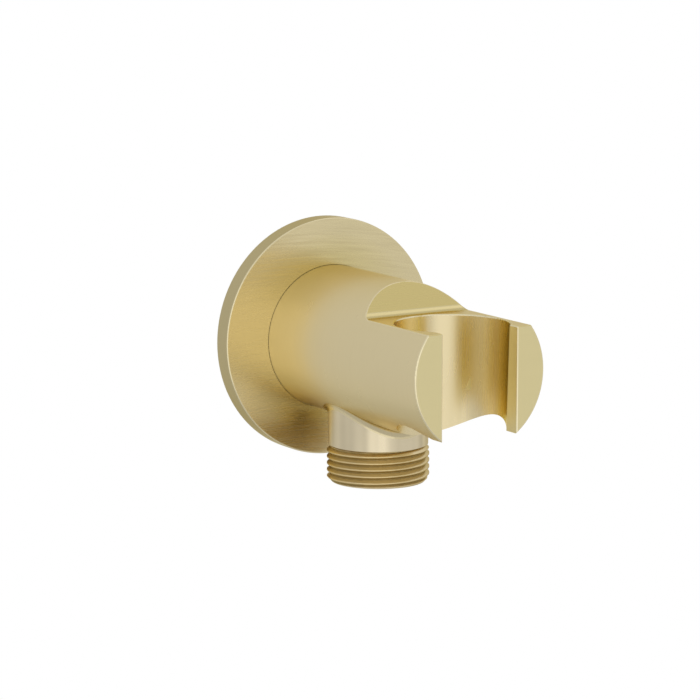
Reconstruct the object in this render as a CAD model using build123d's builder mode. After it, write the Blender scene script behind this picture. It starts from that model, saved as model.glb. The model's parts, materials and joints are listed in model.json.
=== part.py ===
from build123d import *
import os
from math import radians, sqrt, tan

# Wall outlet elbow with a cradle for a hand shower, in millimetres.
# +Z is up, the wall is the plane y = 0 and the elbow stands out from it along -Y.
# The origin is the middle of the wall flange's back face, on the barrel's axis.

# Barrel, the round bar that stands out from the wall
barrel_radius = 15.0
projection = 60.0  # wall plane to the front of the cradle
shoulder_gap = 0.3  # wall plane to the barrel's rear shoulder
edge_break = 0.3  # rounding on every edge that a hand can reach

# Cradle: a conical socket that opens to the front by a slot
socket_to_front = 10.0  # socket axis to the front of the cradle
socket_radius = 11.35  # at the shelf
socket_taper = 1.5  # half angle, degrees
slot_width = 17.3

# Shelf cut in the barrel's top around the socket, with a sloping step wall behind it
shelf_strip = 0.65  # flat left between the socket and the barrel's sides
shelf_behind = 0.36  # flat left between the socket and the rounded foot of the step
step_angle = 51.0  # slope of the step wall above the shelf, degrees
step_fillet = 2.8

# Outlet neck, which hangs from the barrel
outlet_from_wall = 22.9
neck_radius = 10.25
neck_drop = 4.4  # plain neck below the barrel's underside
outlet_thread_length = 7.7
neck_fillet = 2.0  # where the neck grows out of the barrel

# G 1/2 pipe thread, drawn as a plain cylinder at its crests
thread_radius = 10.4775
thread_chamfer = 0.9
inlet_length = 14.0  # tail behind the wall plane

# Water way
inlet_bore_radius = 5.5
drop_bore_radius = 5.2
bore_overrun = 0.5  # the drilling goes this far past the drop
drill_point_angle = 118.0
mouth_chamfer = 0.6

# Wall flange, a turned disc that slides on the barrel
flange_width = 9.74  # from its bore to its rim
flange_thickness = 4.35
flange_gap = 0.06  # around the barrel, so that only a hairline shows
flange_hub_wall = 1.9
flange_rim_wall = 2.2
gasket_recess_depth = 1.6
gasket_gap = 0.1

# Sealing rings, drawn as they are when squeezed in their grooves
ring_clearance = 0.03
ring_corner = 0.45  # bevel on the corners of a squeezed ring
flange_groove_depth = 1.55
flange_groove_width = 2.4
flange_ring_width = 2.05
valve_groove_depth = 1.5
valve_groove_width = 2.2
valve_ring_width = 1.9

# Non-return cartridge in the outlet
chamber_radius = 7.5
chamber_depth = 14.0  # from the outlet's end
cartridge_gap = 0.08
cartridge_setback = 1.0  # housing to the outlet's end
seat_radius = 4.4
seat_height = 3.2
sleeve_wall = 1.25
snap_height = 0.2  # bead that holds the housing in the chamber
snap_width = 1.0
snap_gap = 0.1
snap_from_end = 1.0  # bead's lower side above the housing's lower end
guide_radius = 2.6
guide_height = 2.8
guide_gap = 0.08
rib_count = 3
rib_width = 1.4
rib_height = 1.8

# Poppet, its seal and its spring
seat_gap = 0.05  # closed seal to its seat
poppet_radius = 5.2
poppet_thickness = 1.2
seal_thickness = 0.8
seal_inner_radius = 3.4
seal_gap = 0.05
nose_radius = 3.8
nose_height = 2.4
nose_tip_radius = 1.2
stem_radius = 1.25
stop_radius = 1.55  # thicker top of the stem, which lands on the guide
stop_gap = 0.05
poppet_travel = 2.0
stem_recess = 1.2  # closed stem's end above the guide's lower end
spring_wire_radius = 0.25
spring_mean_radius = 1.95
spring_turns = 3
spring_wire_sides = 8  # the wire's section is drawn as a polygon
spring_end_gap = 0.04

# Places worked out from the sizes above
socket_from_wall = projection - socket_to_front
shelf_height = sqrt(barrel_radius**2 - (socket_radius + shelf_strip) ** 2)  # above the barrel's axis
slope_run = 1 / tan(radians(step_angle))
foot_setback = step_fillet * tan(radians(step_angle / 2))
slope_foot = -socket_from_wall + socket_radius + shelf_behind + foot_setback
slope_top = slope_foot + (barrel_radius - shelf_height) * slope_run
outlet_thread_top = -barrel_radius - neck_drop
outlet_end = outlet_thread_top - outlet_thread_length
bore_end = outlet_from_wall + drop_bore_radius + bore_overrun
drill_point = inlet_bore_radius / tan(radians(drill_point_angle / 2))
flange_bore_radius = barrel_radius + flange_gap
flange_radius = flange_bore_radius + flange_width
flange_groove_middle = flange_thickness / 2
chamber_top = outlet_end + chamber_depth
housing_radius = chamber_radius - cartridge_gap
housing_end = outlet_end + cartridge_setback
seat_face = chamber_top - seat_height
sleeve_radius = housing_radius - sleeve_wall
snap_radius = chamber_radius + snap_height
snap_low = housing_end + snap_from_end
seal_top = seat_face - seat_gap
head_top = seal_top - seal_thickness
head_under = head_top - poppet_thickness
guide_top = housing_end + guide_height
overcut = 1.0  # a cutter reaches this far past what it cuts

outlet_axis = Axis((0, -outlet_from_wall, 0), (0, 0, 1))
socket_axis = Axis((0, -socket_from_wall, 0), (0, 0, 1))
outlet_plane = Plane.XZ.offset(outlet_from_wall)  # sketch x is the radius and y the height

os.makedirs("parts", exist_ok=True)


def ring_section(inner, outer, width):
    """Section of a squeezed sealing ring, with its middle at the height of the current location."""
    with Locations(((inner + outer) / 2, 0)):
        section = Rectangle(outer - inner, width)
    chamfer(section.vertices(), ring_corner)


# Elbow body: barrel, cradle, outlet neck and inlet tail in one piece of brass
with BuildPart() as elbow_body:
    # Turned outside, from the inlet tail at the back to the front of the cradle
    groove_front = -flange_groove_middle - flange_groove_width / 2
    groove_back = -flange_groove_middle + flange_groove_width / 2
    with BuildSketch(Plane.XY):
        with BuildLine():
            Polyline(
                (0, -projection),
                (barrel_radius, -projection),
                (barrel_radius, groove_front),
                (barrel_radius - flange_groove_depth, groove_front),
                (barrel_radius - flange_groove_depth, groove_back),
                (barrel_radius, groove_back),
                (barrel_radius, -shoulder_gap),
                (thread_radius, -shoulder_gap),
                (thread_radius, inlet_length - thread_chamfer),
                (thread_radius - thread_chamfer, inlet_length),
                (0, inlet_length),
                close=True,
            )
        make_face()
    revolve(axis=Axis.Y)

    # Outlet neck and its threaded end
    with BuildSketch(outlet_plane):
        with BuildLine():
            Polyline(
                (0, 0),
                (neck_radius, 0),
                (neck_radius, outlet_thread_top),
                (thread_radius, outlet_thread_top),
                (thread_radius, outlet_end + thread_chamfer),
                (thread_radius - thread_chamfer, outlet_end),
                (0, outlet_end),
                close=True,
            )
        make_face()
    revolve(axis=outlet_axis)
    neck_joint = elbow_body.edges().filter_by(GeomType.BSPLINE).sort_by(SortBy.LENGTH)[-1]
    fillet(neck_joint, neck_fillet)

    # Step wall and shelf
    cutter_top = barrel_radius + overcut
    with BuildSketch(Plane.YZ) as step_profile:
        with BuildLine():
            Polyline(
                (slope_top + overcut * slope_run, cutter_top),
                (slope_foot, shelf_height),
                (-projection - overcut, shelf_height),
                (-projection - overcut, cutter_top),
                close=True,
            )
        make_face()
        step_corner = step_profile.vertices().group_by(Axis.Y)[0].sort_by(Axis.X)[-1]  # foot of the slope
        fillet(step_corner, step_fillet)
    extrude(amount=cutter_top, both=True, mode=Mode.SUBTRACT)

    # Conical socket, right through the barrel
    widening = tan(radians(socket_taper))
    with BuildSketch(Plane.YZ):
        with BuildLine():
            Polyline(
                (-socket_from_wall, cutter_top),
                (-socket_from_wall + socket_radius + (cutter_top - shelf_height) * widening, cutter_top),
                (-socket_from_wall + socket_radius - (cutter_top + shelf_height) * widening, -cutter_top),
                (-socket_from_wall, -cutter_top),
                close=True,
            )
        make_face()
    revolve(axis=socket_axis, mode=Mode.SUBTRACT)

    # Slot that lets the hose into the socket from the front
    slot_length = socket_to_front + overcut
    with BuildSketch(Plane.XY.offset(-cutter_top)):
        with Locations((0, -socket_from_wall - slot_length / 2)):
            Rectangle(slot_width, slot_length)
    extrude(amount=2 * cutter_top, mode=Mode.SUBTRACT)

    # Broken edges over the cradle, but not at its inner and blunt corners or on its underside
    cradle_edges = elbow_body.edges().filter_by_position(Axis.Y, -projection, slope_top)
    inner_corners = cradle_edges.filter_by(Axis.X).filter_by_position(
        Axis.Y, slope_foot - step_fillet, slope_top
    )
    seam = cradle_edges.filter_by(Axis.Y).filter_by_position(Axis.Z, -edge_break, edge_break)
    blunt_corners = cradle_edges.filter_by(GeomType.HYPERBOLA)  # where the slot meets the socket
    under_edges = cradle_edges.filter_by_position(Axis.Z, -barrel_radius, -shelf_height)
    fillet(cradle_edges - inner_corners - seam - blunt_corners - under_edges, edge_break)

    # Drilled water way from the tail, with the drill's point at its end
    with BuildSketch(Plane.XY):
        with BuildLine():
            Polyline(
                (0, inlet_length),
                (inlet_bore_radius + mouth_chamfer, inlet_length),
                (inlet_bore_radius, inlet_length - mouth_chamfer),
                (inlet_bore_radius, -bore_end),
                (0, -bore_end - drill_point),
                close=True,
            )
        make_face()
    revolve(axis=Axis.Y, mode=Mode.SUBTRACT)

    # Drop to the outlet, and the chamber with the snap groove for the non-return cartridge
    with BuildSketch(outlet_plane):
        with BuildLine():
            Polyline(
                (0, 0),
                (drop_bore_radius, 0),
                (drop_bore_radius, chamber_top),
                (chamber_radius, chamber_top),
                (chamber_radius, snap_low + snap_width + snap_gap),
                (snap_radius + cartridge_gap, snap_low + snap_width + snap_gap),
                (snap_radius + cartridge_gap, snap_low - snap_gap),
                (chamber_radius, snap_low - snap_gap),
                (chamber_radius, outlet_end),
                (0, outlet_end),
                close=True,
            )
        make_face()
    revolve(axis=outlet_axis, mode=Mode.SUBTRACT)
elbow_body.part.label = "elbow_body"
export_step(elbow_body.part, "parts/elbow_body.step")

# Wall flange: a turned disc with a ring-shaped recess in its back
recess_inner_radius = flange_bore_radius + flange_hub_wall
recess_outer_radius = flange_radius - flange_rim_wall
with BuildPart() as wall_flange:
    with BuildSketch(Plane.XY) as flange_profile:
        with BuildLine():
            Polyline(
                (flange_bore_radius, 0),
                (recess_inner_radius, 0),
                (recess_inner_radius, -gasket_recess_depth),
                (recess_outer_radius, -gasket_recess_depth),
                (recess_outer_radius, 0),
                (flange_radius, 0),
                (flange_radius, -flange_thickness),
                (flange_bore_radius, -flange_thickness),
                close=True,
            )
        make_face()
        wall_corner = flange_profile.vertices().group_by(Axis.X)[-1].sort_by(Axis.Y)[-1]
        chamfer(wall_corner, edge_break)
        rim_corner = flange_profile.vertices().group_by(Axis.X)[-1].sort_by(Axis.Y)[0]
        fillet(rim_corner, edge_break)
    revolve(axis=Axis.Y)
wall_flange.part.label = "wall_flange"
export_step(wall_flange.part, "parts/wall_flange.step")

# Gasket: flat ring in the flange's recess, pressed flush with the wall
with BuildPart() as wall_gasket:
    with BuildSketch(Plane.XZ):
        Circle(recess_outer_radius - gasket_gap)
        Circle(recess_inner_radius + gasket_gap, mode=Mode.SUBTRACT)
    extrude(amount=gasket_recess_depth)
wall_gasket.part.label = "wall_gasket"
export_step(wall_gasket.part, "parts/wall_gasket.step")

# Ring in the barrel's groove, which holds the flange where it is pushed
with BuildPart() as flange_o_ring:
    with BuildSketch(Plane.XY):
        with Locations((0, -flange_groove_middle)):
            ring_section(
                barrel_radius - flange_groove_depth + ring_clearance,
                flange_bore_radius - ring_clearance,
                flange_ring_width,
            )
    revolve(axis=Axis.Y)
flange_o_ring.part.label = "flange_o_ring"
export_step(flange_o_ring.part, "parts/flange_o_ring.step")

# Cartridge housing: seat ring, sleeve with a snap bead, and a guide held by ribs
seat_groove_middle = chamber_top - seat_height / 2
with BuildPart() as valve_housing:
    with BuildSketch(outlet_plane):
        with BuildLine():
            Polyline(
                (seat_radius, chamber_top),
                (housing_radius, chamber_top),
                (housing_radius, seat_groove_middle + valve_groove_width / 2),
                (housing_radius - valve_groove_depth, seat_groove_middle + valve_groove_width / 2),
                (housing_radius - valve_groove_depth, seat_groove_middle - valve_groove_width / 2),
                (housing_radius, seat_groove_middle - valve_groove_width / 2),
                (housing_radius, snap_low + snap_width),
                (snap_radius, snap_low + snap_width),
                (snap_radius, snap_low + snap_height),
                (housing_radius, snap_low - cartridge_gap),
                (housing_radius, housing_end),
                (sleeve_radius, housing_end),
                (sleeve_radius, seat_face),
                (seat_radius, seat_face),
                close=True,
            )
        make_face()
    revolve(axis=outlet_axis)
    with BuildSketch(Plane((0, -outlet_from_wall, housing_end))):
        Circle(guide_radius)
    extrude(amount=guide_height)
    rib_start = stem_radius + guide_gap
    rib_length = sleeve_radius + sleeve_wall / 2 - rib_start
    with BuildSketch(Plane((0, -outlet_from_wall, housing_end))):
        with PolarLocations(rib_start + rib_length / 2, rib_count):
            Rectangle(rib_length, rib_width)
    extrude(amount=rib_height)
    with BuildSketch(Plane((0, -outlet_from_wall, housing_end))):
        Circle(stem_radius + guide_gap)
    extrude(amount=guide_height, mode=Mode.SUBTRACT)
valve_housing.part.label = "valve_housing"
export_step(valve_housing.part, "parts/valve_housing.step")

# Ring around the housing
with BuildPart() as valve_o_ring:
    with BuildSketch(outlet_plane):
        with Locations((0, seat_groove_middle)):
            ring_section(
                housing_radius - valve_groove_depth + ring_clearance,
                chamber_radius - ring_clearance,
                valve_ring_width,
            )
    revolve(axis=outlet_axis)
valve_o_ring.part.label = "valve_o_ring"
export_step(valve_o_ring.part, "parts/valve_o_ring.step")

# Poppet: nose, neck for the seal, head and stem, drawn closed
boss_radius = seal_inner_radius - seal_gap
stem_end = housing_end + stem_recess
stop_face = guide_top + poppet_travel + stop_gap
with BuildPart() as valve_poppet:
    with BuildSketch(outlet_plane):
        with BuildLine():
            Polyline(
                (0, seal_top + nose_height),
                (nose_tip_radius, seal_top + nose_height),
                (nose_radius, seal_top + seal_gap),
                (boss_radius, seal_top + seal_gap),
                (boss_radius, head_top),
                (poppet_radius, head_top),
                (poppet_radius, head_under),
                (stop_radius, head_under),
                (stop_radius, stop_face),
                (stem_radius, stop_face),
                (stem_radius, stem_end),
                (0, stem_end),
                close=True,
            )
        make_face()
    revolve(axis=outlet_axis)
valve_poppet.part.label = "valve_poppet"
export_step(valve_poppet.part, "parts/valve_poppet.step")

# Seal on the poppet's head
with BuildPart() as poppet_seal:
    with BuildSketch(Plane((0, -outlet_from_wall, head_top))):
        Circle(poppet_radius)
        Circle(seal_inner_radius, mode=Mode.SUBTRACT)
    extrude(amount=seal_thickness)
poppet_seal.part.label = "poppet_seal"
export_step(poppet_seal.part, "parts/poppet_seal.step")

# Spring between the guide and the poppet's head
coil_low = guide_top + spring_wire_radius + spring_end_gap
coil_height = head_under - spring_wire_radius - spring_end_gap - coil_low
with BuildPart() as valve_spring:
    with BuildLine() as coil:
        Helix(
            pitch=coil_height / spring_turns,
            height=coil_height,
            radius=spring_mean_radius,
            center=(0, -outlet_from_wall, coil_low),
        )
    with BuildSketch(Plane(origin=coil.line @ 0, z_dir=coil.line % 0)):
        RegularPolygon(spring_wire_radius, spring_wire_sides)
    sweep(is_frenet=True)
valve_spring.part.label = "valve_spring"
export_step(valve_spring.part, "parts/valve_spring.step")
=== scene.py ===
# %% [markdown]
# # A brushed-gold wall outlet for a hand shower
# The real fitting is a brass casting with a gold-coloured coating: a round bar on a wall flange, a threaded
# neck for the hose below and a cradle for the hand shower in front. This lesson dresses its solid model. The
# model comes in as a fixed frame in metres, so each new piece is made where the real one sits and is never
# fitted afterwards.

# %% Load the frame
import json
from math import cos, pi, radians, sin

import bpy
import numpy as np
from mathutils import Euler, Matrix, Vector

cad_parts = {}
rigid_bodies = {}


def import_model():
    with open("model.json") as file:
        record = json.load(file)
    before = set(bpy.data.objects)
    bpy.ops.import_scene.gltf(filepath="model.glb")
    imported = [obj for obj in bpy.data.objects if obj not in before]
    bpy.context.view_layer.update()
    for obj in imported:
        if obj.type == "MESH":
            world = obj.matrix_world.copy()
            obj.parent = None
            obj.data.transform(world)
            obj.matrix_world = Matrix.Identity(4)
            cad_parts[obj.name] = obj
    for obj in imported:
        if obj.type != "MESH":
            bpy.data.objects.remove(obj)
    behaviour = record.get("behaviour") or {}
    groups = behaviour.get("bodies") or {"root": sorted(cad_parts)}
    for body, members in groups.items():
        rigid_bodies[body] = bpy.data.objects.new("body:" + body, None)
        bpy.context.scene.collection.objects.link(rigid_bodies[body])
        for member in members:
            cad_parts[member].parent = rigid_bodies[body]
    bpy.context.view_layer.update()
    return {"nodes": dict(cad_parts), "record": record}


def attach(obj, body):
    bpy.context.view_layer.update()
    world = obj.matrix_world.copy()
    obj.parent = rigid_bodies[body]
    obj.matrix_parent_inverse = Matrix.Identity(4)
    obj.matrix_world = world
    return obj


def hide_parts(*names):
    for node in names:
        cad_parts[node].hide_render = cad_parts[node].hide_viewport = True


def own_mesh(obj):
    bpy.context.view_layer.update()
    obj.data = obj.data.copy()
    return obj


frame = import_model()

MM = 0.001
nodes = frame["nodes"]
mounts = {mount["name"]: mount for mount in frame["record"]["mounts"]}

# %% [markdown]
# ## The camera
# The fitting is seen from the left and a little from above, through a long lens, so its round ends are nearly
# true ellipses. A picture is 700 pixels square here, and the lens is worked out from the focal length in
# pixels, because that is what can be measured.

# %% Place the camera
PICTURE_SIZE = 700
FOCAL_PIXELS = 3186.0
CAMERA_PLACE = Vector((-339.93, -563.21, 108.56)) * MM
CAMERA_TURN = -31.661  # degrees about the upright, from looking straight at the wall
CAMERA_DROP = 9.675  # degrees below the horizon

camera = bpy.data.objects.new("camera", bpy.data.cameras.new("camera"))
camera.location = CAMERA_PLACE
camera.rotation_euler = Euler((radians(90 - CAMERA_DROP), 0, radians(CAMERA_TURN)))
camera.data.lens = FOCAL_PIXELS / PICTURE_SIZE * camera.data.sensor_width
bpy.context.scene.collection.objects.link(camera)
bpy.context.scene.camera = camera
print("lens:", round(camera.data.lens, 1), "mm")

# %% [markdown]
# ## Helpers for node trees
# Every finish below is a small tree of shader nodes. Three helpers keep them short. The first fills a node's
# sockets: another node's output is linked, and a plain value is set. The second adds a node and fills it. The
# third starts a material and hands back its tree and its surface shader.


# %% Add nodes and materials
def fill(tree, node, **inputs):
    """Fills a node's sockets by name, with _ for a space, or by number as _0, _1 and so on."""
    for name, value in inputs.items():
        key = int(name[1:]) if name[1:].isdigit() else name.replace("_", " ")
        if isinstance(value, bpy.types.NodeSocket):
            tree.links.new(value, node.inputs[key])
        else:
            node.inputs[key].default_value = value


def add(tree, kind, settings=None, **inputs):
    """Adds a node, sets its options and fills its sockets."""
    node = tree.nodes.new("ShaderNode" + kind)
    for name, value in (settings or {}).items():
        setattr(node, name, value)
    fill(tree, node, **inputs)
    return node


def new_material(name, **surface):
    """A material with one surface shader, whose sockets are set by name."""
    material = bpy.data.materials.new(name)
    material.use_nodes = True
    tree = material.node_tree
    tree.nodes.clear()
    shader = add(tree, "BsdfPrincipled", **surface)
    add(tree, "OutputMaterial", Surface=shader.outputs[0])
    return material, tree, shader


print("helpers:", [helper.__name__ for helper in (fill, add, new_material)])

# %% [markdown]
# ## The studio
# Metal shows little but what is around it. The room is therefore an even pale grey, lighter toward the viewer
# and above, with a white backdrop just behind the fitting. The backdrop ends a little outside the picture, so
# that it doesn't wash out the edges of the metal.

# %% Light the room
WHITE = (1, 1, 1, 1)
ROOM_LIGHT, BACKDROP_LIGHT = 0.70, 1.0
LIGHTER_TOWARD = Vector((0, -0.05, 0.04))  # the room is lighter in front and above, darker behind and below
BACKDROP_EDGE = (radians(11), radians(17))  # white inside the first angle, plain room outside the second
view_axis = camera.rotation_euler.to_matrix() @ Vector((0, 0, -1))


def work_out(tree, operation, *numbers):
    """One step of arithmetic, by the name of its operation."""
    sockets = {f"_{place}": number for place, number in enumerate(numbers)}
    return add(tree, "Math", {"operation": operation}, **sockets).outputs[0]


def blend(tree, share, first, second):
    """Goes from a first number to a second one while share goes from 0 to 1."""
    return add(tree, "Mix", {"data_type": "FLOAT"}, _0=share, _2=first, _3=second).outputs[0]


world = bpy.data.worlds.new("studio")
world.use_nodes = True
bpy.context.scene.world = world
tree = world.node_tree
tree.nodes.clear()
direction = add(tree, "TexCoord").outputs["Generated"]
dot = {"operation": "DOT_PRODUCT"}
shade = add(tree, "VectorMath", dot, _0=direction, _1=LIGHTER_TOWARD).outputs["Value"]
room = work_out(tree, "ADD", shade, ROOM_LIGHT)
ahead = add(tree, "VectorMath", dot, _0=direction, _1=view_axis).outputs["Value"]
backdrop = add(
    tree, "MapRange", {"interpolation_type": "SMOOTHSTEP"}, Value=ahead,
    From_Min=cos(BACKDROP_EDGE[1]), From_Max=cos(BACKDROP_EDGE[0]),
).outputs[0]
level = blend(tree, backdrop, room, BACKDROP_LIGHT)
background = add(tree, "Background", Color=WHITE, Strength=level)
add(tree, "OutputWorld", Surface=background.outputs[0])
bpy.context.scene.view_settings.view_transform = "Standard"
print("room light:", ROOM_LIGHT, "backdrop:", BACKDROP_LIGHT)

# %% [markdown]
# A pale round floor closes the room from below and takes the fitting's shadow. Large soft lamps give the
# light a direction: a wide low one behind the viewer and a small one up on the right. A lamp's power is
# worked out from how bright its face should look, so that a bigger lamp is softer and not stronger.

# %% Floor and lamps
FLOOR_DROP = 250 * MM
FLOOR_RADIUS = 370 * MM
FLOOR_SIDES = 96
FLOOR_GREY = (0.72, 0.72, 0.72, 1)
bpy.ops.mesh.primitive_circle_add(
    vertices=FLOOR_SIDES, radius=FLOOR_RADIUS, fill_type="NGON", location=(0, 0, -FLOOR_DROP)
)
floor = bpy.context.object
floor.name = "floor"
floor_paint = new_material("floor_paint", Base_Color=FLOOR_GREY, Roughness=0.9)[0]
floor.data.materials.append(floor_paint)


def soft_lamp(name, turn, rise, distance, width, height, brightness):
    """A lamp that looks at the fitting. Turn 0 is straight in front of it, 90 on its right, in degrees."""
    lamp = bpy.data.objects.new(name, bpy.data.lights.new(name, "AREA"))
    lamp.data.shape = "RECTANGLE"
    lamp.data.size = width
    lamp.data.size_y = height
    lamp.data.energy = brightness * pi * width * height
    level = cos(radians(rise))
    toward = Vector((sin(radians(turn)) * level, -cos(radians(turn)) * level, sin(radians(rise))))
    lamp.location = toward * distance
    lamp.rotation_euler = (-toward).to_track_quat("-Z", "Y").to_euler()
    bpy.context.scene.collection.objects.link(lamp)


soft_lamp("front_lamp", turn=-32, rise=-3, distance=1.5, width=2.1, height=1.7, brightness=0.24)
soft_lamp("side_lamp", turn=92, rise=58, distance=1.4, width=0.6, height=0.6, brightness=0.30)
print("floor at", -FLOOR_DROP, "m, lamps: 2")

# %% [markdown]
# ## Gold finishes
# The coating is a thin hard layer over brass, and it shows how each face was worked before it was coated. The
# bar was blasted to an even satin. The neck and the socket were turned, and on the neck the tone of the
# turning is made strong enough to stand for soft upright bands of reflection: a painted reflection. The step,
# the prong fronts and the cheeks of the slot were milled flat. The narrow edges get a lighter gold, a painted
# highlight on top of the light that the edges catch. In the thread, the flanks that face up get a lighter
# gold as painted light, and the grooves and the flanks that face down a darker one as painted shade.
#
# Scratches are noise that is squeezed across their direction: they tilt the surface a little (bump) and
# change how blurred its reflections are (roughness). A slow cloud on top keeps a wide face from looking like
# plastic.

# %% Colours of the gold
GOLD = (0.84, 0.728, 0.463)
NECK_GOLD = (0.76, 0.662, 0.462)
FILLET_GOLD = (0.775, 0.668, 0.42)
SOCKET_GOLD = (0.82, 0.70, 0.43)
STEP_GOLD = (0.715, 0.59, 0.257)  # a deeper, more saturated gold than the rest of the casting
FOOT_GOLD = (0.72, 0.61, 0.32)  # the round where the step meets the shelf
FLAT_GOLD = (0.83, 0.725, 0.395)
EDGE_HIGHLIGHT_GOLD = (0.90, 0.80, 0.53)
CREST_GOLD = (0.75, 0.585, 0.30)
# in the thread, the flanks that face up get a lighter gold as painted light, the grooves a darker one as
# painted shade
FLANK_LIT_GOLD = (0.92, 0.77, 0.48)
GROOVE_SHADE_GOLD = (0.53, 0.42, 0.215)
EDGE_TINT = (0.90, 0.80, 0.52, 1)  # a metal keeps its colour where it is seen at a slant
THREAD_TINT = (0.65, 0.57, 0.35, 1)  # but a thread hides some of its own light there
print("gold:", GOLD)


# %% Noise, ramps and tones
def scaled_noise(tree, place, scale, detail=2.0):
    """Noise whose cells are squeezed along each axis by scale, in cells a metre."""
    spread = add(tree, "Mapping", Vector=place, Scale=scale).outputs[0]
    return add(tree, "TexNoise", Vector=spread, Scale=1.0, Detail=detail).outputs[0]


def ramp(tree, value, start=0.0, end=1.0, low=0.0, high=1.0):
    """Goes from low to high while a value goes from start to end, and stays there outside."""
    ends = {"From_Min": start, "From_Max": end, "To_Min": low, "To_Max": high}
    return add(tree, "MapRange", Value=value, **ends).outputs[0]


def blend_colours(tree, share, first, second, way="MIX"):
    """Goes from a first colour to a second one, or with MULTIPLY to the product of both."""
    settings = {"data_type": "RGBA", "blend_type": way}
    return add(tree, "Mix", settings, _0=share, _6=first, _7=second).outputs[2]


def tone(colour, share=1.0):
    """A colour for a node's socket, made lighter or darker by a share."""
    return tuple(channel * share for channel in colour) + (1,)


def spread_tone(tree, spread, colour, shade):
    """A colour that is darker by shade where spread is 0 and lighter by it where spread is 1."""
    return blend_colours(tree, spread, tone(colour, 1 - shade), tone(colour, 1 + shade))


print("helpers:", [helper.__name__ for helper in (scaled_noise, ramp, blend_colours, tone, spread_tone)])

# %% Describe worked metal
NOISE_SPAN = (0.3, 0.7)  # nearly all of a noise lies between these
CLOUD_CELLS = (90, 90, 90)  # noise cells a metre
CLOUD_SHARE = 0.3
SCRATCH_DEPTH = 0.02 * MM
ROUND_BAR = (150, 3000, 150)  # many cells across a scratch, few along it


def metal_finish(
    name, colour, scratch, roughness, change=0.02, tilt=0.005, shade=0.01, detail=3.0, edge=EDGE_TINT
):
    """Metal with scratches. Change spreads the roughness, shade the colour, and tilt is the bump."""
    material, tree, shader = new_material(name, Metallic=1.0, Specular_Tint=edge)
    place = add(tree, "TexCoord").outputs["Object"]
    scratches = scaled_noise(tree, place, scratch, detail)
    cloud = scaled_noise(tree, place, CLOUD_CELLS)
    spread = ramp(tree, blend(tree, CLOUD_SHARE, scratches, cloud), *NOISE_SPAN)
    tint = spread_tone(tree, spread, colour, shade)
    blur = ramp(tree, spread, low=roughness + change, high=roughness - change)
    bump = add(tree, "Bump", Strength=tilt, Distance=SCRATCH_DEPTH, Height=scratches).outputs[0]
    fill(tree, shader, Base_Color=tint, Roughness=blur, Normal=bump)
    return material


satin_gold = metal_finish("satin_gold", GOLD, ROUND_BAR, roughness=0.30, change=0.03, tilt=0.03)
print("first finish:", satin_gold.name)

# %% Make the other gold finishes
AROUND_NECK = (150, 150, 3000)
DOWN_NECK = (520, 520, 5)
ALONG_STEP = (30, 700, 700)
# the turning's random tone is made strong enough to stand for upright bands of reflection: a painted
# reflection
neck_gold = metal_finish(
    "neck_gold", NECK_GOLD, DOWN_NECK, roughness=0.33, change=0.06, tilt=0.0, shade=0.11, detail=0.0
)
fillet_gold = metal_finish("fillet_gold", FILLET_GOLD, AROUND_NECK, roughness=0.20)
socket_gold = metal_finish(
    "socket_gold", SOCKET_GOLD, DOWN_NECK, roughness=0.27, change=0.04, tilt=0.01, shade=0.02, detail=1.0
)
step_gold = metal_finish("step_gold", STEP_GOLD, ALONG_STEP, roughness=0.27, shade=0.006)
foot_gold = metal_finish("foot_gold", FOOT_GOLD, ALONG_STEP, roughness=0.20, shade=0.006)
flat_gold = metal_finish("flat_gold", FLAT_GOLD, ALONG_STEP, roughness=0.32, shade=0.006)
# the narrow edges get a lighter gold, a painted highlight on top of the light that the edges catch
edge_highlight_gold = metal_finish("edge_highlight_gold", EDGE_HIGHLIGHT_GOLD, AROUND_NECK, roughness=0.16, tilt=0.02)
in_thread = {"scratch": AROUND_NECK, "tilt": 0.003, "edge": THREAD_TINT}
crest_gold = metal_finish("crest_gold", CREST_GOLD, roughness=0.28, **in_thread)
flank_lit_gold = metal_finish("flank_lit_gold", FLANK_LIT_GOLD, roughness=0.30, **in_thread)
groove_shade_gold = metal_finish("groove_shade_gold", GROOVE_SHADE_GOLD, roughness=0.34, **in_thread)
body_finishes = (
    satin_gold, neck_gold, fillet_gold, socket_gold, step_gold, foot_gold,
    flat_gold, edge_highlight_gold, crest_gold, flank_lit_gold, groove_shade_gold,
)
print("finishes:", [finish.name for finish in body_finishes])

# %% [markdown]
# Two of the turned faces end where the parts close in. The back of the neck stands close to the
# flange, and in front the ends of the socket turn in towards each other. A deeper gold is painted there:
# painted shade at the back of the neck, and at the ends of the socket a painted reflection of the saturated
# light that bounces between the close faces. It is blended in along the fitting, over a few millimetres, so
# that no line shows where it begins.

# %% Paint shade where the faces close in
# painted shade: a darker gold at the back of the neck, and a more saturated one at the ends of the socket
NECK_BACK_SHADE = (0.60, 0.48, 0.24)
SOCKET_END_SHADE = (0.93, 0.80, 0.25)


def paint_shade_along(finish, colour, start, full):
    """Paints shade into a finish: blends it into a deeper colour along the fitting, from one place to
    another.
    """
    tree = finish.node_tree
    shader = tree.nodes["Principled BSDF"]
    own_colour = shader.inputs["Base Color"].links[0].from_socket
    along = add(tree, "SeparateXYZ", Vector=add(tree, "TexCoord").outputs["Object"]).outputs["Y"]
    share = ramp(tree, along, start, full)
    fill(tree, shader, Base_Color=blend_colours(tree, share, own_colour, tone(colour)))


paint_shade_along(neck_gold, NECK_BACK_SHADE, start=-17.0 * MM, full=-13.5 * MM)
paint_shade_along(socket_gold, SOCKET_END_SHADE, start=-49.0 * MM, full=-53.0 * MM)
print("deepened:", neck_gold.name, socket_gold.name)

# %% [markdown]
# ## The elbow body, with its threads cut
# The solid model leaves both threads as plain rods at their crests. We keep every other surface of the
# casting exactly, take the two rods off and put a cut thread in the place of each. First the model's mesh
# comes into plain arrays: corners that meet at one point are welded, and the true surface normal of each
# corner is kept, so the round faces stay smooth and the edges stay crisp.

# %% Read the body's mesh
SAME_POINT = 1e-7  # metres


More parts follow.
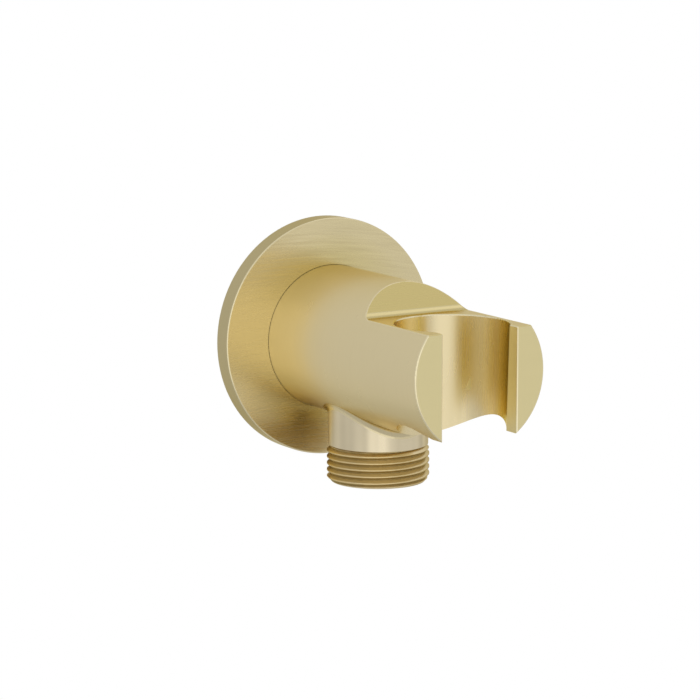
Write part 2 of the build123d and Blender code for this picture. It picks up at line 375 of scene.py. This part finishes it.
def read_mesh(node):
    """A node's points, each of them once, its triangles and the normal at each corner of a triangle."""
    source = node.data
    points = np.empty(len(source.vertices) * 3)
    source.vertices.foreach_get("co", points)
    corners = np.empty(len(source.loops), int)
    source.loops.foreach_get("vertex_index", corners)
    normals = np.empty(len(source.loops) * 3)
    source.corner_normals.foreach_get("vector", normals)
    points = points.reshape(-1, 3)
    whole = np.round(points / SAME_POINT)
    _, first, weld = np.unique(whole, axis=0, return_index=True, return_inverse=True)
    triangles = weld.reshape(-1)[corners].reshape(-1, 3)
    a, b, c = triangles.T
    sound = (a != b) & (b != c) & (c != a)
    return points[first], triangles[sound], normals.reshape(-1, 3, 3)[sound]


spots, faces, leans = read_mesh(nodes["elbow_body"])
print("body:", len(spots), "points in", len(faces), "triangles")

# %% [markdown]
# Where a round face of the model closes on itself, the normals of its two ends differ by a few degrees, and
# shiny metal shows that as a line. So at every point the normals that nearly agree are made one. Each counts
# by the size of its triangle, so a wide flat face isn't bent by the small round beside it. Normals that
# differ more belong to a real edge and stay apart.

# %% Smooth the seams
SAME_SURFACE = cos(radians(8))  # normals closer than this belong to one smooth surface
NOTICED = 0.01  # a smaller change of a normal isn't counted below


def smooth_seams(spots, faces, leans):
    """The normals of all corners, with those that nearly agree at a point made one."""
    a, b, c = spots[faces].transpose(1, 0, 2)
    weight = np.repeat(np.linalg.norm(np.cross(b - a, c - a), axis=1), 3)[:, None]
    owner = faces.reshape(-1)
    normal = leans.reshape(-1, 3)
    order = np.argsort(owner, kind="stable")
    meeting = np.bincount(owner)[owner]  # how many corners meet at each corner's point
    first = np.searchsorted(owner[order], owner)
    one = np.repeat(np.arange(len(owner)), meeting)
    step = np.arange(len(one)) - np.repeat(np.cumsum(meeting) - meeting, meeting)
    other = order[np.repeat(first, meeting) + step]
    alike = (normal[one] * normal[other]).sum(axis=1) > SAME_SURFACE
    total = np.zeros_like(normal)
    np.add.at(total, one[alike], (normal * weight)[other[alike]])
    return (total / np.linalg.norm(total, axis=1, keepdims=True)).reshape(-1, 3, 3)


before = leans
leans = smooth_seams(spots, faces, leans)
print("corners smoothed:", int((np.abs(leans - before).max(axis=2) > NOTICED).sum()))

# %% [markdown]
# A thread is easiest as a table of radii: one row for each small step along the axis, one column for each
# step around it. A ridge climbs one pitch a turn, so its height depends on the place along the axis less the
# share of a turn. A plain run-out at the start and a cone at the end finish it, as a die leaves it. The hose
# thread has the ridges seen on this fitting. The wall tail, which the tiles hide, gets the usual pipe thread.

# %% Cut a thread
SIDE = np.array([1.0, 0.0, 0.0])
DOWN = np.array([0.0, 0.0, -1.0])
INTO_WALL = np.array([0.0, 1.0, 0.0])
GROOVE_FLAT, SLOPE = 0.06, 0.78  # shares of half a pitch. What is left of it is the flat of the crest
LEAD_IN = 0.75 * MM  # after the run-out, a ridge grows over this length
END_CONE = 0.9 * MM  # what the cone takes off the radius at the very end
CREST_RADIUS = mounts["outlet_thread"]["dims"]["r_mm"] * MM


def cut_thread(origin, along, length, pitch, depth, run_out, start, rows, columns):
    """Points and normals of a thread, as rows along the axis and columns around it, and its ridge."""
    up = np.cross(along, SIDE)
    step = np.linspace(0, length, rows)[:, None]
    turn = np.linspace(0, 2 * pi, columns, endpoint=False)[None, :]
    phase = (step - start) / pitch - turn / (2 * pi)
    ridge = 1 - np.abs(2 * (phase - np.floor(phase)) - 1)
    ridge = np.clip((ridge - GROOVE_FLAT) / SLOPE, 0, 1)
    ridge = np.minimum(ridge, np.clip((step - run_out) / LEAD_IN, 0, 1))
    radius = CREST_RADIUS - depth * (1 - ridge)
    radius = np.minimum(radius, CREST_RADIUS - END_CONE + (length - step))
    outward = np.cos(turn)[..., None] * SIDE + np.sin(turn)[..., None] * up
    around = np.cos(turn)[..., None] * up - np.sin(turn)[..., None] * SIDE
    grid = origin + step[..., None] * along + radius[..., None] * outward
    slope_along = np.gradient(radius, length / (rows - 1), axis=0)
    slope_around = (np.roll(radius, -1, 1) - np.roll(radius, 1, 1)) / (4 * pi / columns) / radius
    normal = outward - slope_around[..., None] * around - slope_along[..., None] * along
    return grid, normal / np.linalg.norm(normal, axis=2, keepdims=True), ridge


outlet_axis = Vector(mounts["outlet_thread"]["pos_m"])
NECK_END, OUTLET_END = -19.4 * MM, -27.1 * MM
SHOULDER, TAIL_END = -0.3 * MM, 14.0 * MM
outlet_top = np.array([0, outlet_axis.y, NECK_END])
tail_root = np.array([0, SHOULDER, 0])
outlet_thread = cut_thread(
    outlet_top, DOWN, length=NECK_END - OUTLET_END, pitch=1.36 * MM, depth=0.80 * MM, run_out=0.2 * MM,
    start=-0.08 * MM, rows=172, columns=200,
)
tail_thread = cut_thread(
    tail_root, INTO_WALL, length=TAIL_END - SHOULDER, pitch=1.814 * MM, depth=1.0 * MM, run_out=2.2 * MM,
    start=0.0, rows=140, columns=160,
)
print("threads:", outlet_thread[0].shape, tail_thread[0].shape)

# %% [markdown]
# Now the rods come off. A triangle belongs to a rod when all of it lies past the neck's end, or past the
# shoulder in the wall, and it reaches further out than the water way.

# %% Take the rods off
WATER_WAY = 9 * MM
ROUNDING = 1e-8  # metres


def past(distance, reach):
    """Which triangles lie past a plane with all corners and reach further out than the water way."""
    return np.all(distance[faces] >= -ROUNDING, axis=1) & (reach[faces].max(axis=1) > WATER_WAY)


off_outlet = np.hypot(spots[:, 0], spots[:, 1] - outlet_axis.y)
off_bar = np.hypot(spots[:, 0], spots[:, 2])
rods = {
    "outlet": past(NECK_END - spots[:, 2], off_outlet),
    "tail": past(spots[:, 1] - SHOULDER, off_bar),
}
kept = ~(rods["outlet"] | rods["tail"])
print("rod triangles:", {name: int(mask.sum()) for name, mask in rods.items()}, "kept:", int(kept.sum()))

# %% [markdown]
# The casting is one piece of metal with more than one finish, so each triangle gets its finish from where it
# lies and which way it faces. The neck is all that stands out from the bar below, and its fillet is the part
# that is wider than the neck. The socket stands upright inside the bar. The cheeks of the slot do so too, but
# they are flat and go with the fronts of the prongs. What is neither flat nor round with the bar is a narrow
# edge.

# %% Measure the body's triangles
socket_axis = Vector(mounts["hand_shower_cradle"]["pos_m"])
body_faces = faces[kept]
facing = leans[kept].mean(axis=1)
to_side, to_wall, to_sky = facing.T
middle = spots[body_faces].mean(axis=1)
x, y, z = middle.T
from_bar = np.hypot(x, z)
from_socket = np.hypot(x, y - socket_axis.y)
reach_off_bar = off_bar[body_faces].max(axis=1)
reach_off_outlet = off_outlet[body_faces].max(axis=1)
outward = middle * np.array([1, 0, 1]) / from_bar[:, None]
with_bar = (facing * outward).sum(axis=1)
print("measured:", len(body_faces), "triangles")

# %% Finish each zone of the body
BAR_RADIUS, NECK_RADIUS, SOCKET_RADIUS = 15 * MM, 10.25 * MM, 11.45 * MM
SLOT_HALF, SHELF_TOP, EDGES_OFF_BAR = 8.65 * MM, 9 * MM, 9 * MM
BAR_FRONT, STEP_FRONT = -60 * MM, -45 * MM
CRADLE_BACK, EDGES_BACK, NECK_BACK = -31 * MM, -30 * MM, -8 * MM
HAIR, FLUSH, SKIN, NEAR = 0.005 * MM, 0.02 * MM, 0.05 * MM, 0.1 * MM  # to tell on a shape from off it
STANDING, SIDEWAYS = 0.15, 0.02  # a face stands, or isn't turned to a side, when it leans less than this
SLOPING, HOLLOW, LEVEL = 0.3, 0.66, 0.995  # how far the step, its foot and the shelf look up
SQUARE, PLAIN = 0.99, 0.998  # how nearly a face is square to an axis of the fitting

in_bar = (from_bar < BAR_RADIUS - SKIN) & (y < CRADLE_BACK)
upright = in_bar & (np.abs(to_sky) < STANDING)
neck = (reach_off_bar > BAR_RADIUS + HAIR) & (y < NECK_BACK)
fillet = neck & (reach_off_outlet > NECK_RADIUS + HAIR)
cheek = upright & (np.abs(np.abs(x) - SLOT_HALF) < FLUSH)
socket = upright & (from_socket < SOCKET_RADIUS) & ~cheek
shelf = in_bar & (to_sky > LEVEL)
step = in_bar & ~socket & ~shelf & (np.abs(to_side) < SIDEWAYS) & (to_sky > SLOPING)
foot = step & (to_sky > HOLLOW)
flat = cheek | (to_wall < -SQUARE) & (y < BAR_FRONT + NEAR)
plain = np.maximum(np.abs(facing).max(axis=1), with_bar) > PLAIN
above_shelf = (z > SHELF_TOP + NEAR) & (y > STEP_FRONT)
# narrow edges, which take the lighter gold of a painted highlight
edge = (y < EDGES_BACK) & (from_bar > EDGES_OFF_BAR) & ~(plain | socket | step | neck | above_shelf)
SATIN, NECK, FILLET, SOCKET, STEP, FOOT, FLAT, EDGE, CREST, FLANK, GROOVE = range(len(body_finishes))
zone = np.select(
    [fillet, neck, socket, foot, step, flat, edge], [FILLET, NECK, SOCKET, FOOT, STEP, FLAT, EDGE], SATIN
)
print("triangles by finish:", np.bincount(zone).tolist())

# %% [markdown]
# Now the threads join the body. What is left of it shares four round edges with the rods, and flat rings of
# triangles join those to the first and last row of each thread. A ring is made by walking along both of its
# edges at once and always stepping on the one that is behind.

# %% Make the rings that join
HALF_WAY = 1 * MM  # the collar of a rod lies before this, its mouth far past it


def in_order(loop, origin, along):
    """A loop's points in the order of their turn about the axis, and those turns."""
    arms = spots[loop] - origin
    turn = np.arctan2(arms @ np.cross(along, SIDE), arms @ SIDE) % (2 * pi)
    order = np.argsort(turn)
    return loop[order], turn[order]


def ring_faces(inner, outer, inner_turn, outer_turn):
    """Triangles between two closed rings, each in order of its turn, walked together once around."""
    made = []
    i = j = 0
    while i < len(inner) or j < len(outer):
        next_inner = inner_turn[i + 1] if i + 1 < len(inner) else inner_turn[0] + 2 * pi
        next_outer = outer_turn[j + 1] if j + 1 < len(outer) else outer_turn[0] + 2 * pi
        a, b = inner[i % len(inner)], outer[j % len(outer)]
        if j >= len(outer) or (i < len(inner) and next_inner <= next_outer):
            made.append((a, b, inner[(i + 1) % len(inner)]))
            i += 1
        else:
            made.append((a, b, outer[(j + 1) % len(outer)]))
            j += 1
    return made


def join_rings(name, index, origin, along):
    """The two rings that join a thread, given as a grid of point numbers, to the body."""
    rim = np.intersect1d(faces[rods[name]], faces[kept])
    depth = (spots[rim] - origin) @ along
    turns = np.linspace(0, 2 * pi, index.shape[1], endpoint=False)
    collar, collar_turn = in_order(rim[depth < HALF_WAY], origin, along)
    mouth, mouth_turn = in_order(rim[depth > HALF_WAY], origin, along)
    ring = ring_faces(index[0], collar, turns, collar_turn)
    return ring + ring_faces(mouth, index[-1], mouth_turn, turns)


print("helpers:", [helper.__name__ for helper in (in_order, ring_faces, join_rings)])

# %% [markdown]
# Last, the pieces of the mesh are put together: the kept triangles, the two threads as grids of four-sided
# faces, and the rings that join them. A thread's faces are told apart by its ridge: full height is the crest,
# a ridge that falls away or has hardly begun is the groove, and the slope up to the next crest is the flank.
# Every corner gets its normal, so that round faces shade smoothly and edges stay crisp.

# %% Gather the body's faces
CREST_FROM, GROOVE_TO = 0.97, 0.2  # shares of a ridge's full height


def four_corners(grid):
    """What a grid holds at the four corners of each of its faces. Its last column joins its first."""
    beside = np.roll(grid, -1, axis=1)
    return np.stack([grid[:-1], beside[:-1], beside[1:], grid[1:]], axis=2)


points = [spots]
polygons = body_faces.tolist()
normals = list(leans[kept].reshape(-1, 3))
zones = zone.tolist()
count = len(spots)
for name, origin, along, (grid, lean, ridge) in (
    ("outlet", outlet_top, DOWN, outlet_thread),
    ("tail", tail_root, INTO_WALL, tail_thread),
):
    index = count + np.arange(ridge.size).reshape(ridge.shape)
    count += ridge.size
    points.append(grid.reshape(-1, 3))
    quads = four_corners(index).reshape(-1, 4).tolist()
    joins = join_rings(name, index, origin, along)
    polygons += quads + joins
    normals += list(four_corners(lean).reshape(-1, 3)) + [along] * (3 * len(joins))
    # the flank that faces up takes a lighter gold as painted light; the groove and the flank that faces down
    # a darker one as painted shade
    on_crest = np.minimum(ridge[:-1], ridge[1:]) > CREST_FROM
    in_groove = ((ridge[1:] < ridge[:-1]) | (ridge[1:] < GROOVE_TO)) & ~on_crest
    if name == "outlet":
        zones += np.select([on_crest, in_groove], [CREST, GROOVE], FLANK).reshape(-1).tolist()
    else:
        zones += [FLANK] * len(quads)
    zones += [GROOVE] * len(joins)

points = np.concatenate(points)
used = np.unique(np.concatenate(polygons))
renumber = np.zeros(len(points), int)
renumber[used] = np.arange(len(used))
polygons = [renumber[list(polygon)].tolist() for polygon in polygons]
print("gathered:", len(polygons), "faces on", len(used), "points")


# %% Build the finished body
def build_piece(name, points, polygons, normals, finishes, zones):
    """A piece that stays with the elbow. Zones tell which finish each polygon takes."""
    mesh = bpy.data.meshes.new(name)
    mesh.from_pydata(points.tolist(), [], polygons)
    mesh.polygons.foreach_set("use_smooth", [True] * len(polygons))
    mesh.polygons.foreach_set("material_index", zones)
    mesh.normals_split_custom_set([tuple(normal) for normal in normals])
    for finish in finishes:
        mesh.materials.append(finish)
    piece = bpy.data.objects.new(name, mesh)
    bpy.context.scene.collection.objects.link(piece)
    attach(piece, "elbow")
    return piece


body = build_piece("elbow_body_finished", points[used], polygons, normals, body_finishes, zones)
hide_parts("elbow_body")
print("body:", len(used), "points,", sum(len(polygon) - 2 for polygon in polygons), "triangles")

# %% [markdown]
# ## The wall flange
# A disc that slides over the bar until it touches the tiles. It keeps every point of the model, and only its
# seams are smoothed like those of the body, but one disc shows three finishes. The face was brushed sideways,
# with the stroke of an arm, so its streaks lie in a wide arc. They are weak in the middle, where the bar
# stops the brush. The rim gets a darker, duller gold, and the small round between them a lighter one: a
# painted highlight on top of the light that the round catches.

# %% Brush strokes on the flange
STROKE_RADIUS, STROKE_SLOPE = 143 * MM, 0.07  # of the arc, and the slope of a stroke at the middle
STROKE_CELLS = (90, 30, 1900)  # a stroke is about a centimetre long and half a millimetre wide
STROKE_DETAIL = 3.0
OVER_BAR = (6 * MM, 17 * MM)  # strokes are weak up to the first height and full past the second
WEAK_STROKE = 0.3
NO_STROKE = 0.5  # half way between a dark and a light streak

flange_gold, tree, shader = new_material("flange_gold", Metallic=1.0, Specular_Tint=EDGE_TINT)
coordinates = add(tree, "TexCoord")
place = add(tree, "SeparateXYZ", Vector=coordinates.outputs["Object"]).outputs
bend = work_out(tree, "MULTIPLY_ADD", place["X"], 0.5 / STROKE_RADIUS, STROKE_SLOPE)  # an arc is x * x / 2 r
lifted = work_out(tree, "MULTIPLY_ADD", place["X"], bend, place["Z"])
swung = add(tree, "CombineXYZ", X=place["X"], Y=place["Y"], Z=lifted).outputs[0]
strokes = ramp(tree, scaled_noise(tree, swung, STROKE_CELLS, STROKE_DETAIL), *NOISE_SPAN)
over_bar = ramp(tree, work_out(tree, "ABSOLUTE", place["Z"]), *OVER_BAR)
pressed = ramp(tree, over_bar, low=WEAK_STROKE)
streak = blend(tree, pressed, NO_STROKE, strokes)
print("stroke radius:", STROKE_RADIUS, "m")

# %% [markdown]
# Which finish a point of the disc belongs to can be told from the way that it faces: the face looks along the
# bar, the rim across it, and the round lies between. Right above and below the bar the face is painted a
# little deeper in colour: painted shade and reflection of the bar.

# %% Finish the flange
# the round between rim and face takes a lighter gold, a painted highlight
FACE_GOLD, RIM_GOLD, ROUND_HIGHLIGHT_GOLD = (0.785, 0.675, 0.403), (0.59, 0.51, 0.305), (0.88, 0.77, 0.50)
FACE_SHADE = 0.06
FACE_SPAN, RIM_SPAN = (0.80, 0.96), (0.35, 0.55)  # how far a point faces along the bar
# painted shade and reflection of the bar, on the face right above and below it
BAR_SHADE_TINT = (0.90, 0.88, 0.68, 1)
BAR_SHADE_REACH = 22 * MM  # from the bar's axis
DULL, STREAK_SHINE, ROUND_SHINE = 0.32, 0.22, 0.18  # roughness
STREAK_TILT = 0.06

along_bar = add(tree, "SeparateXYZ", Vector=coordinates.outputs["Normal"]).outputs["Y"]
faced = work_out(tree, "ABSOLUTE", along_bar)
on_face = ramp(tree, faced, *FACE_SPAN)
off_rim = ramp(tree, faced, *RIM_SPAN)
arm = add(tree, "CombineXYZ", X=place["X"], Z=place["Z"]).outputs[0]
off_axis = add(tree, "VectorMath", {"operation": "LENGTH"}, _0=arm).outputs["Value"]
# where the painted shade of the bar falls, and how strong it is there
corner = work_out(tree, "MULTIPLY", ramp(tree, off_axis, BAR_SHADE_REACH, BAR_RADIUS), over_bar)
brushed = spread_tone(tree, streak, FACE_GOLD, FACE_SHADE)
brushed = blend_colours(tree, corner, brushed, BAR_SHADE_TINT, "MULTIPLY")
# from the rim's darker gold to the painted highlight on the round
round_edge = blend_colours(tree, off_rim, tone(RIM_GOLD), tone(ROUND_HIGHLIGHT_GOLD))
colour = blend_colours(tree, on_face, round_edge, brushed)
streak_blur = ramp(tree, streak, low=DULL, high=STREAK_SHINE)
edge_blur = ramp(tree, off_rim, low=DULL, high=ROUND_SHINE)
blur = blend(tree, on_face, edge_blur, streak_blur)
height = work_out(tree, "MULTIPLY", streak, on_face)
bump = add(tree, "Bump", Strength=STREAK_TILT, Distance=SCRATCH_DEPTH, Height=height).outputs[0]
fill(tree, shader, Base_Color=colour, Roughness=blur, Normal=bump)
print("flange finish:", flange_gold.name)

# %% Build the flange
flange_spots, flange_faces, flange_leans = read_mesh(nodes["wall_flange"])
flange_leans = smooth_seams(flange_spots, flange_faces, flange_leans).reshape(-1, 3)
one_finish = [0] * len(flange_faces)
flange = build_piece(
    "wall_flange_finished", flange_spots, flange_faces.tolist(), flange_leans, [flange_gold], one_finish
)
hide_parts("wall_flange")
print("flange:", len(flange_faces), "triangles")

# %% [markdown]
# ## Foam, rubber and plastic
# A ring of foam rubber behind the flange keeps water off the wall, three black rubber rings seal the inside,
# and the non-return valve is moulded from off-white plastic. Foam is a crowd of small bubbles, so a cell
# pattern dents it. Solid rubber has a soft shine that goes dull in dusty patches. Moulded plastic is even,
# with the fine grain of its mould. None of them needs a new mesh: the solid model's own faces take the
# finish.

# %% Make the soft finishes
FOAM_BLACK, SEAL_BLACK, VALVE_WHITE = (0.07, 0.07, 0.07), (0.03, 0.03, 0.03), (0.84, 0.84, 0.80)
PATCH_CELLS, PATCH_SHARE = (350, 350, 350), 0.5
PATCH_SPAN = (0.35, 0.65)  # nearly all of the grain and the patches together lies between these
GRAIN_TILT = 0.5


def soft_finish(name, colour, shade, roughness, change, grain, depth, bubbles=False):
    """A finish that isn't metal. Grain is in cells a metre, depth is how deep the grain goes."""
    material, tree, shader = new_material(name)
    place = add(tree, "TexCoord").outputs["Object"]
    if bubbles:
        fine = add(tree, "TexVoronoi", Vector=place, Scale=grain).outputs["Distance"]
    else:
        fine = scaled_noise(tree, place, (grain, grain, grain))
    patches = scaled_noise(tree, place, PATCH_CELLS)
    spread = ramp(tree, blend(tree, PATCH_SHARE, fine, patches), *PATCH_SPAN)
    tint = spread_tone(tree, spread, colour, shade)
    blur = ramp(tree, spread, low=roughness - change, high=roughness + change)
    bump = add(tree, "Bump", Strength=GRAIN_TILT, Distance=depth, Height=fine).outputs[0]
    fill(tree, shader, Base_Color=tint, Roughness=blur, Normal=bump)
    return material


foam_rubber = soft_finish(
    "foam_rubber", FOAM_BLACK, shade=0.22, roughness=0.85, change=0.08, grain=2000, depth=0.15 * MM,
    bubbles=True,
)
seal_rubber = soft_finish(
    "seal_rubber", SEAL_BLACK, shade=0.30, roughness=0.48, change=0.12, grain=2500, depth=0.01 * MM
)
valve_plastic = soft_finish(
    "valve_plastic", VALVE_WHITE, shade=0.03, roughness=0.42, change=0.08, grain=4000, depth=0.008 * MM
)
print("soft finishes:", foam_rubber.name, seal_rubber.name, valve_plastic.name)

# %% Finish the gasket, the rings and the valve
soft_pieces = {
    "wall_gasket": foam_rubber,
    "flange_o_ring": seal_rubber,
    "valve_o_ring": seal_rubber,
    "poppet_seal": seal_rubber,
    "valve_housing": valve_plastic,
    "valve_poppet": valve_plastic,
}
for name, finish in soft_pieces.items():
    nodes[name].data.materials.clear()
    nodes[name].data.materials.append(finish)
print("soft pieces:", {name: finish.name for name, finish in soft_pieces.items()})

# %% [markdown]
# ## The spring of the non-return valve
# A small coil of round steel wire pushes the valve shut. The model draws its wire with eight flat sides, so
# we wind it again with a round section: a circle is carried along the coil, and each ring of points is joined
# to the next. The two ends are closed with a flat cap. When the valve opens, the coil is squashed against the
# guide that it stands on.

# %% Wind the spring
GUIDE_TOP, HEAD_UNDER = -23.3 * MM, -18.35 * MM
WIRE, COIL, TURNS, END_GAP = 0.25 * MM, 1.95 * MM, 3, 0.04 * MM  # the first two are radii
STEPS, SECTION = 216, 20

low, high = GUIDE_TOP + WIRE + END_GAP, HEAD_UNDER - WIRE - END_GAP
turn = np.linspace(0, 2 * pi * TURNS, STEPS)
outward = np.stack([np.cos(turn), np.sin(turn), 0 * turn], axis=1)
path = COIL * outward + np.array([0, outlet_axis.y, 0])
path[:, 2] = np.linspace(low, high, STEPS)
forward = np.gradient(path, axis=0)
forward /= np.linalg.norm(forward, axis=1, keepdims=True)
upward = np.cross(forward, outward)
around = np.linspace(0, 2 * pi, SECTION, endpoint=False)
wire = path[:, None] + WIRE * (
    np.cos(around)[None, :, None] * outward[:, None] + np.sin(around)[None, :, None] * upward[:, None]
)
index = np.arange(STEPS * SECTION).reshape(STEPS, SECTION)
skin = four_corners(index).reshape(-1, 4).tolist()
caps = [index[0][::-1].tolist(), index[-1].tolist()]
print("wire:", wire.shape)

# %% Build the spring
STEEL = (0.62, 0.62, 0.63)
spring_steel = metal_finish(
    "spring_steel", STEEL, AROUND_NECK, roughness=0.30, change=0.08, tilt=0.03, shade=0.08, edge=WHITE
)
mesh = bpy.data.meshes.new("valve_spring_wound")
mesh.from_pydata(wire.reshape(-1, 3).tolist(), [], skin + caps)
mesh.polygons.foreach_set("use_smooth", [True] * len(skin) + [False] * len(caps))
mesh.materials.append(spring_steel)
spring = bpy.data.objects.new("valve_spring_wound", mesh)
bpy.context.scene.collection.objects.link(spring)
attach(spring, "elbow")
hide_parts("valve_spring")
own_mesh(spring)
print("spring:", len(mesh.vertices), "points")
